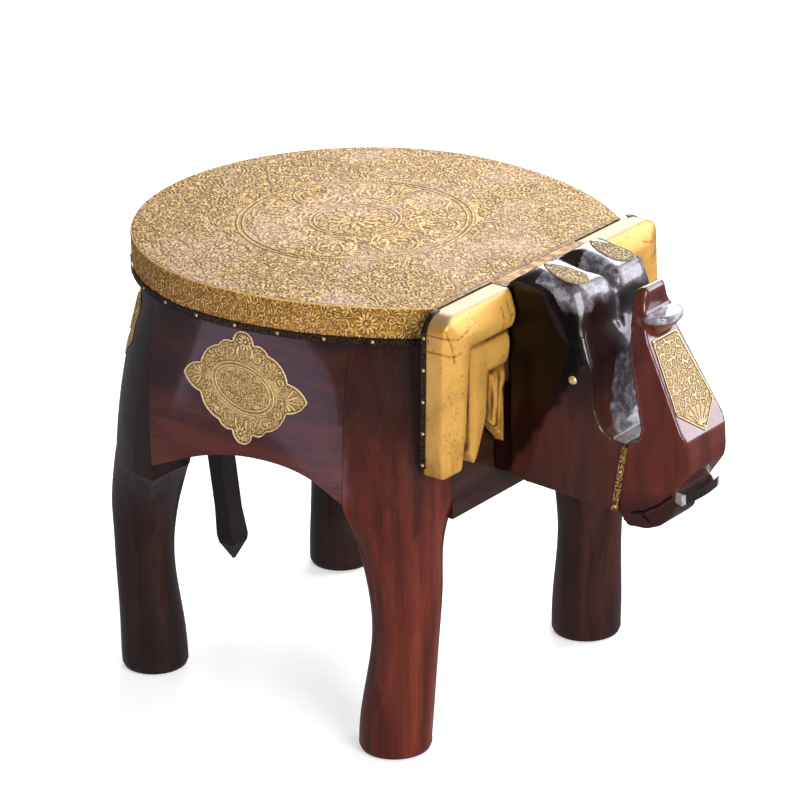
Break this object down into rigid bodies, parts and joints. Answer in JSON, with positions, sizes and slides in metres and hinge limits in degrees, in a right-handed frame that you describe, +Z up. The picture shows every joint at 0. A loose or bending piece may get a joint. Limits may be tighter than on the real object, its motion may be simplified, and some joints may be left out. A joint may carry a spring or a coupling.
{
  "type": "carved elephant stool",
  "caption": "Low stool carved as a standing elephant, with a round brass-covered seat, brass-skinned ears, a raised trunk and a hanging tail.",
  "frame": {"origin": "middle of the stool's footprint, on the floor", "axes": "+Z up; the head looks along -Y; the elephant's right side is at -X"},
  "size_m": [0.3664, 0.5238, 0.3954],
  "materials": {
    "lacquered_wood": "dark red-brown stained hardwood under clear lacquer",
    "dowel_wood": "raw beech dowels",
    "embossed_brass": "thin brass sheet embossed with flowers and scrolls, darkened in its hollows",
    "aged_brass": "smooth brass sheet pressed over carved wood, aged and pitted",
    "pinned_strip": "narrow dark brass strip with a stamped edge",
    "brass_pins": "round-headed brass pins",
    "white_metal": "bright white metal",
    "screw_steel": "plain steel screws"
  },
  "bodies": {
    "root": {"bridge_sheet": "aged_brass", "cheek_pins_left": "brass_pins", "cheek_pins_right": "brass_pins", "cheek_strip_left": "pinned_strip", "cheek_strip_right": "pinned_strip", "chest_panel": "lacquered_wood", "dome_leaf_left": "aged_brass", "dome_leaf_right": "aged_brass", "ear_board": "lacquered_wood", "ear_board_screws": "screw_steel", "ear_dowels": "dowel_wood", "ear_edge_strip_left": "pinned_strip", "ear_edge_strip_right": "pinned_strip", "ear_pins_left": "brass_pins", "ear_pins_right": "brass_pins", "ear_sheet_left": "aged_brass", "ear_sheet_right": "aged_brass", "eye_stud_left": "brass_pins", "eye_stud_right": "brass_pins", "flank_medallion_left": "embossed_brass", "flank_medallion_right": "embossed_brass", "flank_panel_left": "lacquered_wood", "flank_panel_right": "lacquered_wood", "front_leg_left": "lacquered_wood", "front_leg_right": "lacquered_wood", "head_block": "lacquered_wood", "head_dowels": "dowel_wood", "hip_block_left": "lacquered_wood", "hip_block_right": "lacquered_wood", "jaw_dowels": "dowel_wood", "leg_dowels": "dowel_wood", "rear_leg_left": "lacquered_wood", "rear_leg_right": "lacquered_wood", "rear_panel": "lacquered_wood", "rim_edge_strip": "pinned_strip", "rim_pins": "brass_pins", "rump_ornament_left": "embossed_brass", "rump_ornament_right": "embossed_brass", "seat_board": "lacquered_wood", "seat_chord_strip": "pinned_strip", "seat_dowels": "dowel_wood", "seat_rim_band": "embossed_brass", "seat_top_sheet": "embossed_brass", "tail": "lacquered_wood", "tail_dowel": "dowel_wood", "trunk_block": "lacquered_wood", "trunk_plate": "embossed_brass", "trunk_plate_pins": "brass_pins", "tusk_crescent": "lacquered_wood", "tusk_tip_left": "white_metal", "tusk_tip_right": "white_metal"}
  },
  "joints": []
}
